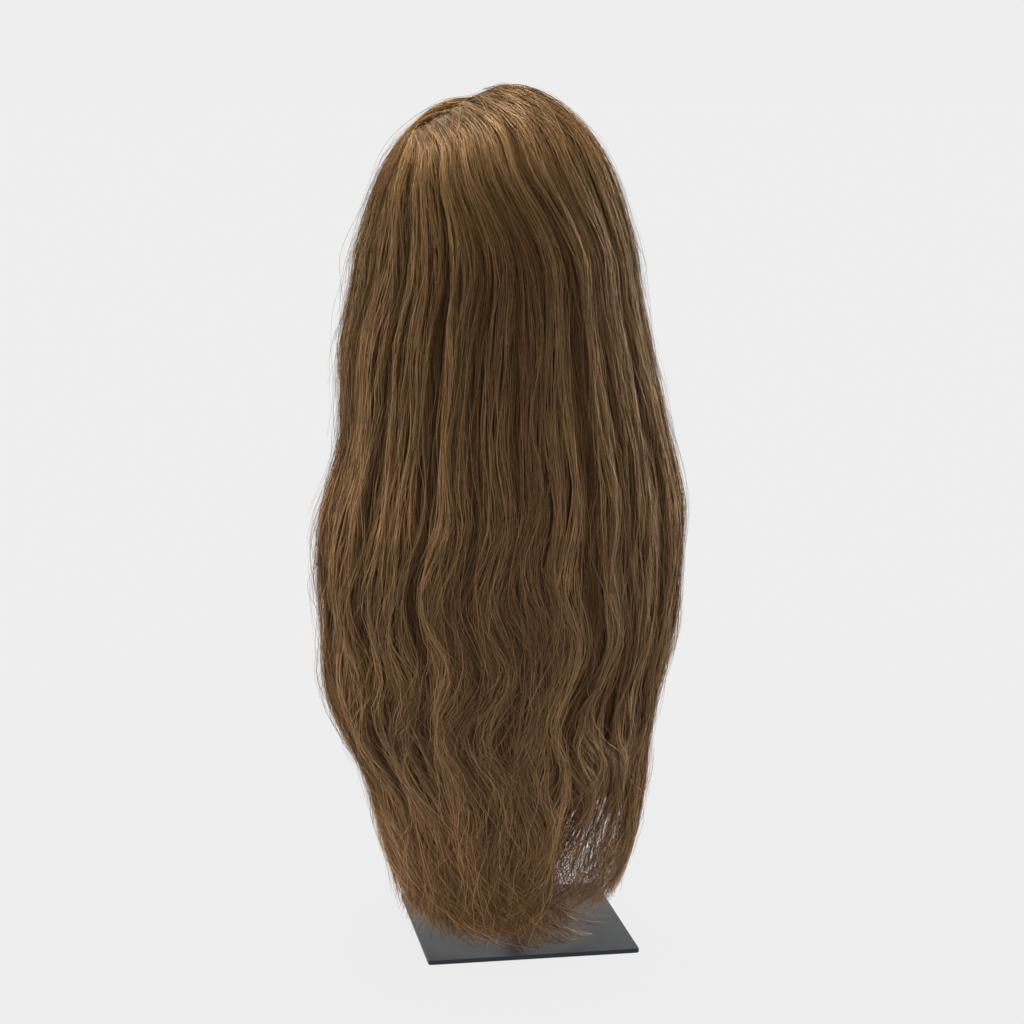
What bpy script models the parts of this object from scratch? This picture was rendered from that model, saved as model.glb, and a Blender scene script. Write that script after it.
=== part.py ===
"""A full lace wig of long wavy hair on a plain plate-and-post stand.

The wig is a lace cap under five bodies of hair. Each body is a row of locks that are one with their backing:
they start at the parting, lie over the cap, pass the cap's widest level and hang in waves to tips of their own
just above the plate. The back of the wig faces -Y, the face opening faces +Y, and the origin is the centre of
the plate's underside.
"""

import math

import bmesh
import bpy
from mathutils import Vector

# Stand, in metres
PLATE_SIDE = 0.1524
PLATE_THICKNESS = 0.0032
PLATE_CORNER_RADIUS = 0.0022
PLATE_EDGE_BEVEL = 0.0004
POST_RADIUS = 0.00635
REST_RADIUS = 0.034
REST_DISH_RADIUS = 0.075
REST_RIM = 0.003
REST_NECK = 0.016
SEAT_GAP = 0.0003

# Lace cap: an ellipsoid that stops at a shaped rim
CAP_HALF_WIDTH = 0.075
CAP_HALF_DEPTH = 0.093
CAP_RISE = 0.121
CAP_WALL = 0.0012
CAP_SHIFT_X = -0.012
CAP_SHIFT_Y = 0.000

# Hair: thickness over the cap on each side, and the drop from the cap's widest level to the longest tip
HAIR_LEFT = 0.0275
HAIR_RIGHT = 0.0205
HAIR_BACK = 0.0185
HAIR_FRONT = 0.0120
HAIR_TOP_LEFT = 0.0110
HAIR_TOP_RIGHT = 0.0130
HAIR_DROP = 0.4760
HAIR_SEAT = 0.0017
TIP_CLEARANCE = 0.0028
HAIR_GAP = 0.0006

# Waves of the hanging hair, sideways and in and out, and the sweep of the hair over the back of the cap
WAVE_SWING = 0.0068
WAVE_BILLOW = 0.0018
WAVE_LENGTH = 0.118
WAVE_TURN = 5.0
SWEEP_DEGREES = 15
SWEEP_MIDDLE = 0.12
SWEEP_SPREAD = 0.38

CAP_EQUATOR = PLATE_THICKNESS + TIP_CLEARANCE + HAIR_DROP
CAP_CENTRE = Vector((CAP_SHIFT_X, CAP_SHIFT_Y, CAP_EQUATOR))

# The cap's rim: the angle round from the back, and the angle down from the top, in degrees
RIM_COLUMNS = ("round", "down")
RIM = (
    (0, 121),
    (38, 117),
    (64, 104),
    (86, 92),
    (104, 95),
    (118, 97),
    (130, 95),
    (138, 86),
    (146, 74),
    (156, 67),
    (168, 63),
    (180, 61),
)

# Sections of the hanging hair. drop is a share of HAIR_DROP below the cap's widest level. left, right, back
# and front are shares of the hair's size at that level, wall is a share of its thickness there, reach is how
# far round from the back the front edge lies, in degrees, and swing is a share of the waves' size.
SECTION_COLUMNS = ("drop", "left", "right", "back", "front", "wall", "reach", "swing")
SECTIONS = (
    (0.00, 1.045, 1.045, 1.000, 1.000, 1.00, 138, 0.00),
    (0.11, 1.140, 1.150, 0.985, 0.960, 1.05, 144, 0.10),
    (0.26, 1.160, 1.325, 0.980, 0.940, 1.10, 150, 0.35),
    (0.38, 1.320, 1.430, 1.010, 0.940, 1.10, 153, 0.70),
    (0.51, 1.280, 1.370, 0.980, 0.900, 1.05, 153, 0.90),
    (0.63, 1.265, 1.250, 0.900, 0.840, 0.95, 151, 1.00),
    (0.76, 0.980, 1.130, 0.775, 0.740, 0.80, 148, 1.00),
    (0.88, 0.860, 1.060, 0.690, 0.620, 0.65, 144, 0.90),
    (1.00, 0.740, 0.860, 0.660, 0.540, 0.50, 140, 0.80),
)

# The parting, as directions from the cap's centre: its back end, the crown and the front hairline
PARTING_COLUMNS = ("x", "y", "z")
PARTING = (
    (-0.58, -0.08, 0.81),
    (-0.36, -0.10, 0.93),
    (-0.16, 0.02, 0.99),
    (-0.09, 0.46, 0.88),
    (-0.06, 0.84, 0.54),
)
PARTING_ROUND = -67  # degrees round from the back where the hair divides to the left and the right

# Locks from the left front edge round the back to the right front edge. width is a share of the whole hair,
# tip is a share of HAIR_DROP that the lock stops short of the longest tip, and full is its relief.
LOCK_COLUMNS = ("body", "width", "tip", "full")
LOCKS = (
    ("hair_front_left", 0.9, 0.170, 0.70),
    ("hair_front_left", 1.0, 0.110, 1.00),
    ("hair_side_left", 1.1, 0.070, 0.80),
    ("hair_side_left", 0.9, 0.040, 1.00),
    ("hair_side_left", 1.2, 0.022, 0.75),
    ("hair_back", 1.15, 0.006, 1.00),
    ("hair_back", 0.90, 0.014, 0.80),
    ("hair_back", 0.65, 0.020, 1.00),
    ("hair_back", 1.30, 0.000, 1.20),
    ("hair_back", 0.70, 0.046, 0.90),
    ("hair_back", 1.00, 0.050, 0.80),
    ("hair_side_right", 1.0, 0.036, 1.00),
    ("hair_side_right", 1.2, 0.044, 0.80),
    ("hair_side_right", 1.0, 0.062, 1.00),
    ("hair_front_right", 1.0, 0.110, 1.00),
    ("hair_front_right", 1.0, 0.180, 0.70),
)

# How the hair is cut into rows and columns, and how each lock rises and ends
DOME_STEPS = (0.014, 0.08, 0.16, 0.25, 0.35, 0.46, 0.57, 0.68, 0.79, 0.90)
HANGING_STEPS = 27
CLOSED_STEP = 0.0015
OUTER_SEGMENTS = 4
INNER_SEGMENTS = 2
GROOVE = 0.34
ROOT_LEFT = 0.32
ROOT_RIGHT = 0.70
ROOT_SPREAD = 0.45
ROOT_RISE = 0.16
NOTCH_DROP = 0.050
TIP_TAPER = 0.13
TIP_THIN = 0.75

STAND_COLOUR = (0.10, 0.10, 0.105, 1)
LACE_COLOUR = (0.16, 0.10, 0.06, 1)
HAIR_COLOUR = (0.14, 0.075, 0.032, 1)


def clear_scene():
    for item in list(bpy.data.objects):
        bpy.data.objects.remove(item)


def new_collection(name):
    collection = bpy.data.collections.new(name)
    bpy.context.scene.collection.children.link(collection)
    return collection


def new_material(name, colour, roughness, metallic=0.0):
    material = bpy.data.materials.new(name)
    material.use_nodes = True
    shader = material.node_tree.nodes["Principled BSDF"]
    shader.inputs["Base Color"].default_value = colour
    shader.inputs["Roughness"].default_value = roughness
    shader.inputs["Metallic"].default_value = metallic
    return material


def add_object(name, mesh_builder, collection, material):
    """A mesh object from a bmesh, with its faces turned outward."""
    bmesh.ops.recalc_face_normals(mesh_builder, faces=mesh_builder.faces)
    mesh = bpy.data.meshes.new(name)
    mesh_builder.to_mesh(mesh)
    mesh_builder.free()
    mesh.materials.append(material)
    mesh.shade_smooth()
    mesh.set_sharp_from_angle(angle=math.radians(40))
    item = bpy.data.objects.new(name, mesh)
    collection.objects.link(item)
    return item


def table_value(table, columns, key, column, at):
    """A smooth curve through one column of a table, read where the key column has the value at."""
    keys = [row[columns.index(key)] for row in table]
    values = [row[columns.index(column)] for row in table]
    at = min(max(at, keys[0]), keys[-1])
    row = max(i for i in range(len(keys) - 1) if keys[i] <= at)

    def slope(i):
        before, after = max(i - 1, 0), min(i + 1, len(keys) - 1)
        return (values[after] - values[before]) / (keys[after] - keys[before])

    span = keys[row + 1] - keys[row]
    t = (at - keys[row]) / span
    start = values[row] * (2 * t**3 - 3 * t**2 + 1) + slope(row) * span * (t**3 - 2 * t**2 + t)
    end = values[row + 1] * (3 * t**2 - 2 * t**3) + slope(row + 1) * span * (t**3 - t**2)
    return start + end


def smooth_step(t):
    t = min(max(t, 0.0), 1.0)
    return t * t * (3 - 2 * t)


def parting_direction(share):
    """A direction on the parting, from its back end at 0 to the front hairline at 1."""
    rows = len(PARTING) - 1
    at = min(max(share, 0.0), 1.0) * rows
    table = [(i, *row) for i, row in enumerate(PARTING)]
    columns = ("row", *PARTING_COLUMNS)
    found = Vector([table_value(table, columns, "row", axis, at) for axis in PARTING_COLUMNS])
    return found.normalized()


def round_direction(degrees):
    """The level direction that many degrees round from the back, towards +X."""
    angle = math.radians(degrees)
    return Vector((math.sin(angle), -math.cos(angle), 0))


def half_sizes(direction, depth):
    """Half width, half depth and rise of the hair over the cap; depth is 0 at its inside and 1 outside."""
    side = HAIR_LEFT if direction.x < 0 else HAIR_RIGHT
    end = HAIR_BACK if direction.y < 0 else HAIR_FRONT
    lean = smooth_step((direction.x + 0.45) / 0.6)
    top = HAIR_TOP_LEFT + (HAIR_TOP_RIGHT - HAIR_TOP_LEFT) * lean
    return (
        CAP_HALF_WIDTH + HAIR_SEAT + (side - HAIR_SEAT) * depth,
        CAP_HALF_DEPTH + HAIR_SEAT + (end - HAIR_SEAT) * depth,
        CAP_RISE + HAIR_SEAT + (top - HAIR_SEAT) * depth,
    )


def section_value(column, drop):
    return table_value(SECTIONS, SECTION_COLUMNS, "drop", column, drop)


def swept(direction, across, along):
    """The hair over the back of the cap is combed to one side and comes back at the cap's widest level."""
    strength = math.exp(-(((across - SWEEP_MIDDLE) / SWEEP_SPREAD) ** 2))
    turn = -math.radians(SWEEP_DEGREES) * strength * math.sin(math.pi * along) ** 2
    return Vector(
        (
            direction.x * math.cos(turn) - direction.y * math.sin(turn),
            direction.x * math.sin(turn) + direction.y * math.cos(turn),
            direction.z,
        )
    )


def dome_point(across, along, depth):
    """A point of the hair over the cap. along runs from the parting at 0 to the cap's widest level at 1."""
    reach = section_value("reach", 0)
    divide = PARTING_ROUND / reach
    if across >= divide:
        share = (across - divide) / (1 - divide)
    else:
        share = (divide - across) / (divide + 1)
    root = parting_direction(share)
    end = round_direction(across * reach)
    bend = Vector((end.x, end.y, 0.8 * root.z))
    path = root * (1 - along) ** 2 + bend * (2 * along * (1 - along)) + end * along**2
    path.normalize()
    path = swept(path, across, along)
    width, length, rise = half_sizes(path, depth)
    widest = smooth_step(1 - path.z * 3)
    side = "left" if path.x < 0 else "right"
    width *= 1 + (section_value(side, 0) - 1) * widest * depth
    return CAP_CENTRE + Vector((path.x * width, path.y * length, path.z * rise))


def hanging_point(across, drop, depth):
    """A point of the hanging hair, a share of HAIR_DROP below the cap's widest level."""
    turn = across * section_value("reach", drop)
    level = round_direction(turn)
    outer_width, outer_length, _ = half_sizes(level, 1)
    inner_width, inner_length, _ = half_sizes(level, 0)
    wall_x = (outer_width - inner_width) * section_value("wall", drop)
    wall_y = (outer_length - inner_length) * section_value("wall", drop)
    outer_width *= section_value("left" if level.x < 0 else "right", drop)
    outer_length *= section_value("back" if level.y < 0 else "front", drop)
    hold = smooth_step(drop / SECTIONS[1][0])
    inside_x = inner_width + (outer_width - wall_x - inner_width) * hold
    inside_y = inner_length + (outer_length - wall_y - inner_length) * hold
    phase = 2 * math.pi * drop * HAIR_DROP / WAVE_LENGTH + across * WAVE_TURN
    strength = section_value("swing", drop)
    billow = WAVE_BILLOW * strength * math.sin(phase + 1.3 + across * WAVE_TURN)
    width = inside_x + (outer_width - inside_x) * depth + billow
    length = inside_y + (outer_length - inside_y) * depth + billow
    turn += math.degrees(WAVE_SWING * strength / outer_width) * math.sin(phase)
    level = round_direction(turn)
    return CAP_CENTRE + Vector((level.x * width, level.y * length, -drop * HAIR_DROP))


def lock_rows():
    """Each lock as its table row, with its two edges: -1 is the left front edge of the hair, 1 the right."""
    rows = [dict(zip(LOCK_COLUMNS, row)) for row in LOCKS]
    whole = sum(row["width"] for row in rows)
    edge = -1.0
    for row in rows:
        row["start"] = edge
        edge += 2 * row["width"] / whole
        row["end"] = edge
    return rows


def lock_column(locks, number, side):
    """One column of the hair: where it lies, its groove's depth, and the share of HAIR_DROP where it ends.

    side runs across the lock from -1 to 1. A lock is fullest and longest in its middle, and at its edges it
    takes the deeper groove and the shorter tip of the two locks that meet there.
    """
    lock = locks[number]
    other = locks[min(max(number + (1 if side > 0 else -1), 0), len(locks) - 1)]
    edge_full = max(lock["full"], other["full"])
    edge_tip = max(lock["tip"], other["tip"]) + NOTCH_DROP * min(lock["full"], other["full"])
    share = abs(side)
    across = (lock["start"] + lock["end"]) / 2 + (lock["end"] - lock["start"]) / 2 * side
    full = lock["full"] + (edge_full - lock["full"]) * share
    tip = lock["tip"] + (edge_tip - lock["tip"]) * share**1.5
    return {"across": across, "groove": GROOVE * full * side**2, "stop": 1 - tip}


def body_columns(locks, numbers, segments):
    """The columns of one body of hair, side by side, with the gap to the next body taken off both ends."""
    columns = []
    for number in numbers:
        for i in range(segments):
            columns.append(lock_column(locks, number, 2 * i / segments - 1))
    columns.append(lock_column(locks, numbers[-1], 1))
    gap = HAIR_GAP / (math.pi * (CAP_HALF_WIDTH + CAP_HALF_DEPTH) * section_value("reach", 0) / 180)
    columns[0]["across"] += gap
    columns[-1]["across"] -= gap
    return columns


def root_full(across):
    """How full the hair is at the parting: the hair to the right of it stands higher than the left."""
    divide = PARTING_ROUND / section_value("reach", 0)
    return ROOT_LEFT + (ROOT_RIGHT - ROOT_LEFT) * smooth_step((across - divide) / ROOT_SPREAD)


def column_points(column, inside):
    """The points down one column, on the hair's outside or its inside."""
    points = []
    root = root_full(column["across"])
    for along in DOME_STEPS:
        full = root + (1 - root) * smooth_step(along / ROOT_RISE)
        depth = 0 if inside else full * (1 - column["groove"])
        points.append(dome_point(column["across"], along, depth))
    for row in range(HANGING_STEPS + 1):
        # Rows lie level across the hair, and close up where a column stops short of the longest tip
        drop = min(row / HANGING_STEPS, column["stop"] - (HANGING_STEPS - row) * CLOSED_STEP)
        taper = smooth_step((drop - column["stop"] + TIP_TAPER) / TIP_TAPER)
        depth = (0.40 * TIP_THIN * taper) if inside else (1 - column["groove"]) * (1 - 0.5 * TIP_THIN * taper)
        points.append(hanging_point(column["across"], drop, depth))
    return points


def hair_body(name, locks, collection, material):
    """One body of hair: an outer and an inner sheet of columns, joined along all four edges."""
    numbers = [i for i, lock in enumerate(locks) if lock["body"] == name]
    mesh_builder = bmesh.new()

    def sheet(segments, inside):
        columns = body_columns(locks, numbers, segments)
        return [[mesh_builder.verts.new(p) for p in column_points(c, inside)] for c in columns]

    outer = sheet(OUTER_SEGMENTS, False)
    inner = sheet(INNER_SEGMENTS, True)
    for grid in (outer, inner):
        for left, right in zip(grid[:-1], grid[1:]):
            for i in range(len(left) - 1):
                mesh_builder.faces.new((left[i], right[i], right[i + 1], left[i + 1]))
    for row in range(len(outer[0]) - 1):
        for side in (0, -1):
            # Both triangles of a side wall share the diagonal that the next body's wall has there
            a, b = outer[side], inner[side]
            mesh_builder.faces.new((a[row], a[row + 1], b[row + 1]))
            mesh_builder.faces.new((a[row], b[row + 1], b[row]))
    step = OUTER_SEGMENTS // INNER_SEGMENTS
    for end in (0, -1):
        for i in range(len(inner) - 1):
            rim = [column[end] for column in outer[i * step : (i + 1) * step + 1]]
            mesh_builder.faces.new((*rim, inner[i + 1][end], inner[i][end]))
    add_object(name, mesh_builder, collection, material)


def cap_point(turn, down):
    """A point of the cap's outside: turn degrees round from the back and down degrees from the top."""
    level = round_direction(turn) * math.sin(math.radians(down))
    rise = math.cos(math.radians(down))
    return CAP_CENTRE + Vector((level.x * CAP_HALF_WIDTH, level.y * CAP_HALF_DEPTH, rise * CAP_RISE))


def lace_cap(collection, material):
    """The cap: an open dome of rows from the crown to the shaped rim, thickened inward."""
    columns, rows = 40, 10
    mesh_builder = bmesh.new()
    crown = mesh_builder.verts.new(cap_point(0, 0))
    rings = []
    for row in range(1, rows + 1):
        ring = []
        for column in range(columns):
            turn = 360 * column / columns - 180
            rim = table_value(RIM, RIM_COLUMNS, "round", "down", abs(turn))
            ring.append(mesh_builder.verts.new(cap_point(turn, rim * row / rows)))
        rings.append(ring)
    for i in range(columns):
        mesh_builder.faces.new((crown, rings[0][i], rings[0][(i + 1) % columns]))
    for upper, lower in zip(rings[:-1], rings[1:]):
        for i in range(columns):
            j = (i + 1) % columns
            mesh_builder.faces.new((upper[i], lower[i], lower[j], upper[j]))
    item = add_object("lace_cap", mesh_builder, collection, material)
    wall = item.modifiers.new("wall", "SOLIDIFY")
    wall.thickness = CAP_WALL
    wall.offset = -1
    wall.use_even_offset = True
    return item


def cap_inside(x, y):
    """Height of the cap's inside above a point of the plate."""
    across = (x - CAP_CENTRE.x) / (CAP_HALF_WIDTH - CAP_WALL)
    along = (y - CAP_CENTRE.y) / (CAP_HALF_DEPTH - CAP_WALL)
    return CAP_CENTRE.z + (CAP_RISE - CAP_WALL) * math.sqrt(1 - across**2 - along**2)


def rest_dip(radius):
    """How far the post's rounded top falls below its highest point at that radius."""
    return REST_DISH_RADIUS - math.sqrt(REST_DISH_RADIUS**2 - radius**2)


def rest_height():
    """The post's height: its rounded top stands SEAT_GAP below the cap's inside where it comes nearest."""
    rings, spokes = 24, 48
    facet = CAP_RISE * (1 - math.cos(math.radians(6)))
    heights = []
    for i in range(rings + 1):
        radius = REST_RADIUS * i / rings
        for j in range(spokes):
            angle = 2 * math.pi * j / spokes
            x, y = radius * math.cos(angle), radius * math.sin(angle)
            heights.append(cap_inside(x, y) + rest_dip(radius))
    return min(heights) - facet - SEAT_GAP


def post(collection, material):
    """The post and its rounded top, turned in one piece from the axis outward, top to bottom."""
    top = rest_height()
    foot = PLATE_THICKNESS + SEAT_GAP
    profile = []
    arc_steps = 6
    for i in range(arc_steps + 1):
        radius = REST_RADIUS * i / arc_steps
        profile.append((radius, top - rest_dip(radius)))
    rim_low = top - rest_dip(REST_RADIUS) - REST_RIM
    profile.append((REST_RADIUS, rim_low))
    profile.append((POST_RADIUS * 1.8, rim_low - REST_NECK * 0.35))
    profile.append((POST_RADIUS, rim_low - REST_NECK))
    profile.append((POST_RADIUS, foot))
    profile.append((0, foot))
    mesh = bpy.data.meshes.new("post")
    points = [(radius, 0, height) for radius, height in profile]
    mesh.from_pydata(points, [(i, i + 1) for i in range(len(points) - 1)], [])
    mesh.materials.append(material)
    item = bpy.data.objects.new("post", mesh)
    collection.objects.link(item)
    turn = item.modifiers.new("turn", "SCREW")
    turn.steps = 24
    turn.render_steps = 24
    turn.use_merge_vertices = True
    turn.merge_threshold = 0.00001
    turn.use_smooth_shade = True
    return item


def base_plate(collection, material):
    bpy.ops.mesh.primitive_cube_add(size=1, location=(0, 0, PLATE_THICKNESS / 2))
    item = bpy.context.object
    item.name = "base_plate"
    item.data.name = "base_plate"
    item.scale = (PLATE_SIDE, PLATE_SIDE, PLATE_THICKNESS)
    bpy.ops.object.transform_apply(location=False, rotation=False, scale=True)
    mesh_builder = bmesh.new()
    mesh_builder.from_mesh(item.data)

    def rise(edge):
        return abs(edge.verts[0].co.z - edge.verts[1].co.z)

    upright = [edge for edge in mesh_builder.edges if rise(edge) > PLATE_THICKNESS / 2]
    bmesh.ops.bevel(
        mesh_builder, geom=upright, offset=PLATE_CORNER_RADIUS, segments=4, profile=0.5, affect="EDGES"
    )
    level = [edge for edge in mesh_builder.edges if rise(edge) < PLATE_THICKNESS / 2]
    bmesh.ops.bevel(mesh_builder, geom=level, offset=PLATE_EDGE_BEVEL, segments=1, affect="EDGES")
    mesh_builder.to_mesh(item.data)
    mesh_builder.free()
    item.data.materials.append(material)
    for other in list(item.users_collection):
        other.objects.unlink(item)
    collection.objects.link(item)
    return item


def main():
    clear_scene()
    collection = new_collection("lace_wig_on_stand")
    stand = new_material("stand_paint", STAND_COLOUR, 0.38, 0.2)
    lace = new_material("lace", LACE_COLOUR, 0.85)
    hair = new_material("hair", HAIR_COLOUR, 0.45)
    base_plate(collection, stand)
    post(collection, stand)
    lace_cap(collection, lace)
    locks = lock_rows()
    for name in dict.fromkeys(lock["body"] for lock in locks):
        hair_body(name, locks, collection, hair)


main()
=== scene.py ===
"""The looks of a long wavy lace wig on its stand: fine strands in wisps, a net cap, painted plate and post.

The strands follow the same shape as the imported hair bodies. A point of the hair is given by how far round
the head it hangs (across, -1 at the left front edge and 1 at the right), how far down its strand it lies
(length, in metres from the parting), and its depth in the hair (0 inside, 1 outside).
"""

import math
from types import SimpleNamespace

import bpy
import numpy as np
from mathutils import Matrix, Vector

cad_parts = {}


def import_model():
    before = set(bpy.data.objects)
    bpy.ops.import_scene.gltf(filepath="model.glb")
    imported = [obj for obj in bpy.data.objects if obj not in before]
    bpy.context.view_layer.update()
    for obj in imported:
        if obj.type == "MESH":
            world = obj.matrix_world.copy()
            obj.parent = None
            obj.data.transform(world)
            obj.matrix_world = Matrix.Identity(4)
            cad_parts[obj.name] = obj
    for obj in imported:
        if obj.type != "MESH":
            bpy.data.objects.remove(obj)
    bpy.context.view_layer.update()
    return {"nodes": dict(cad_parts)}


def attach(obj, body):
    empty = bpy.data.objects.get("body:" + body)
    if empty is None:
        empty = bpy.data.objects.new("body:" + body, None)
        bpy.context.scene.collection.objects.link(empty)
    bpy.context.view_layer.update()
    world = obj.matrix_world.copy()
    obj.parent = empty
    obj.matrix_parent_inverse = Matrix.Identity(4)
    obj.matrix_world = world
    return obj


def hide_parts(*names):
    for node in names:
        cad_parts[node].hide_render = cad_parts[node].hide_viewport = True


SEED = 20
rng = np.random.default_rng(SEED)

# The hair's shape, with the model's sizes and most of its names
CAP_HALF_WIDTH = 0.075
CAP_HALF_DEPTH = 0.093
CAP_RISE = 0.121
CAP_WALL = 0.0012
HAIR_LEFT = 0.0275
HAIR_RIGHT = 0.0205
HAIR_BACK = 0.0185
HAIR_FRONT = 0.0120
HAIR_TOP_LEFT = 0.0110
HAIR_TOP_RIGHT = 0.0130
HAIR_DROP = 0.4760
HAIR_SEAT = 0.0017
WAVE_SWING = 0.0068
WAVE_BILLOW = 0.0018
WAVE_LENGTH = 0.118
WAVE_TURN = 5.0
SWEEP_DEGREES = 15
SWEEP_MIDDLE = 0.12
SWEEP_SPREAD = 0.38
TOP_STEP_START = -0.45  # where across the crown the height on the left begins to give way to the right's
TOP_STEP_SPREAD = 0.60
DOME_ARCH = 0.8  # how high the paths over the cap stay before they fall
WIDENING = 3  # the hair over the cap widens in its lowest third
BILLOW_PHASE = 1.3
CAP_CENTRE = np.array((-0.012, 0.0, 0.482))

# The cap's rim: the angle round from the back, and the angle down from the top, in degrees
RIM_ROUND = np.array((0, 38, 64, 86, 104, 118, 130, 138, 146, 156, 168, 180), float)
RIM_DOWN = np.array((121, 117, 104, 92, 95, 97, 95, 86, 74, 67, 63, 61), float)

# The hanging hair's level sections, from the cap's widest level at drop 0 to the ends at 1
SECTION_COLUMNS = ("drop", "left", "right", "back", "front", "wall", "reach", "swing")
SECTIONS = np.array(
    [
        (0.00, 1.045, 1.045, 1.000, 1.000, 1.00, 138, 0.00),
        (0.11, 1.140, 1.150, 0.985, 0.960, 1.05, 144, 0.10),
        (0.26, 1.160, 1.325, 0.980, 0.940, 1.10, 150, 0.35),
        (0.38, 1.320, 1.430, 1.010, 0.940, 1.10, 153, 0.70),
        (0.51, 1.280, 1.370, 0.980, 0.900, 1.05, 153, 0.90),
        (0.63, 1.265, 1.250, 0.900, 0.840, 0.95, 151, 1.00),
        (0.76, 0.980, 1.130, 0.775, 0.740, 0.80, 148, 1.00),
        (0.88, 0.860, 1.060, 0.690, 0.620, 0.65, 144, 0.90),
        (1.00, 0.740, 0.860, 0.660, 0.540, 0.50, 140, 0.80),
    ]
)
# Directions from the cap's centre to the parting, from its back end to the forehead
PARTING = np.array(
    [
        (-0.58, -0.08, 0.81),
        (-0.36, -0.10, 0.93),
        (-0.16, 0.02, 0.99),
        (-0.09, 0.46, 0.88),
        (-0.06, 0.84, 0.54),
    ]
)
PARTING_ROUND = -67
ROOT_LEFT = 0.32
ROOT_RIGHT = 0.70
ROOT_SPREAD = 0.45

# Locks from the left front edge round to the right. body, width, tip and full are the model's. sheet is how
# far above the lock's tip the hair under its strands ends, thin is how much shorter its strands are, open is
# the share of its wisps that end early, and curl is how far its ends turn to the right, in metres.
LOCK_COLUMNS = ("body", "width", "tip", "full", "sheet", "thin", "open", "curl")
LOCKS = (
    ("hair_front_left", 0.9, 0.170, 0.70, 0.06, 0.030, 0.1, 0.010),
    ("hair_front_left", 1.0, 0.110, 1.00, 0.04, 0.020, 0.1, 0.012),
    ("hair_side_left", 1.1, 0.070, 0.80, 0.02, 0.014, 0.0, 0.014),
    ("hair_side_left", 0.9, 0.040, 1.00, 0.015, 0.008, 0.0, 0.016),
    ("hair_side_left", 1.2, 0.022, 0.75, 0.015, 0.006, 0.0, 0.018),
    ("hair_back", 1.15, 0.006, 1.00, 0.02, 0.005, 0.0, 0.016),
    ("hair_back", 0.90, 0.014, 0.80, 0.02, 0.005, 0.0, 0.014),
    ("hair_back", 0.65, 0.020, 1.00, 0.02, 0.006, 0.0, 0.012),
    ("hair_back", 1.30, 0.000, 1.20, 0.05, 0.006, 0.0, 0.008),
    ("hair_back", 0.70, 0.046, 0.90, 0.16, 0.014, 0.4, -0.012),
    ("hair_back", 1.00, 0.050, 0.80, 0.15, 0.016, 0.4, -0.018),
    ("hair_side_right", 1.0, 0.036, 1.00, 0.15, 0.016, 0.4, -0.020),
    ("hair_side_right", 1.2, 0.044, 0.80, 0.12, 0.014, 0.3, -0.018),
    ("hair_side_right", 1.0, 0.062, 1.00, 0.12, 0.016, 0.3, -0.014),
    ("hair_front_right", 1.0, 0.110, 1.00, 0.16, 0.030, 0.4, -0.012),
    ("hair_front_right", 1.0, 0.180, 0.70, 0.14, 0.040, 0.4, -0.010),
)
EARLY_END = (0.12, 0.20)  # how much higher the wisps that end early stop, as a share of the drop
GROOVE = 0.34  # how deep the grooves between full locks are
NOTCH_DROP = 0.050  # how far up the notches between full locks' ends reach
STRAND_NOTCH = 0.35  # the strands fill most of those notches
NOTCH_POWER = 1.5

# The strands: the length over the cap, the stations along each, and the columns of their shared uv map
DOME_LENGTH = 0.145
ROOT_RISE = 0.023
STATIONS = 50
STATION_CROWDING = 0.28  # the stations lie closer together towards the ends
TONES = 64
LONGEST = 0.64
EDGE_LIMIT = 1.01  # the furthest across that a strand strays at the front edges
# Metres round the hair for each unit of across, and how far down the strands they hold
SCALE_LENGTHS = (0, 0.07, 0.145, 0.35, 0.50, 0.62)
SCALE_METRES = (0.13, 0.19, 0.24, 0.31, 0.29, 0.20)

# The hair's bodies and the names of their strand pieces
PIECES = {
    "hair_front_left": ("hair_front_left",),
    "hair_side_left": ("hair_side_left",),
    "hair_back": ("hair_back_left", "hair_back_right"),
    "hair_side_right": ("hair_side_right",),
    "hair_front_right": ("hair_front_right",),
}


def lock_values(column):
    return np.array([row[LOCK_COLUMNS.index(column)] for row in LOCKS])


def lock_edges():
    widths = lock_values("width")
    return -1 + 2 * np.concatenate([[0], np.cumsum(widths)]) / widths.sum()


def lock_value_at(column, across):
    """A column of the locks' table at each place across, smoothed from the middle of one lock to the next."""
    edges = lock_edges()
    return np.interp(across, (edges[:-1] + edges[1:]) / 2, lock_values(column))


def smooth_step(t):
    """From 0 to 1 with level ends."""
    t = np.clip(t, 0.0, 1.0)
    return t * t * (3 - 2 * t)


def bell(values, middle, spread):
    """1 at the middle, falling smoothly to nearly 0 at twice the spread from it."""
    return np.exp(-(((values - middle) / spread) ** 2))


def curve_value(keys, values, at):
    """A smooth curve through a table's values, read at an array of places."""
    at = np.clip(at, keys[0], keys[-1])
    row = np.clip(np.searchsorted(keys, at, side="right") - 1, 0, len(keys) - 2)
    slopes = np.empty(len(keys))
    slopes[1:-1] = (values[2:] - values[:-2]) / (keys[2:] - keys[:-2])
    slopes[0] = (values[1] - values[0]) / (keys[1] - keys[0])
    slopes[-1] = (values[-1] - values[-2]) / (keys[-1] - keys[-2])
    span = keys[row + 1] - keys[row]
    t = (at - keys[row]) / span
    start = values[row] * (2 * t**3 - 3 * t**2 + 1) + slopes[row] * span * (t**3 - 2 * t**2 + t)
    end = values[row + 1] * (3 * t**2 - 2 * t**3) + slopes[row + 1] * span * (t**3 - t**2)
    return start + end


def section_value(column, drop):
    return curve_value(SECTIONS[:, 0], SECTIONS[:, SECTION_COLUMNS.index(column)], drop)


def side_value(place, low, high, drop):
    """A section's value from one of two columns, by which side of the middle each place lies on."""
    return np.where(place < 0, section_value(low, drop), section_value(high, drop))


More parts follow.
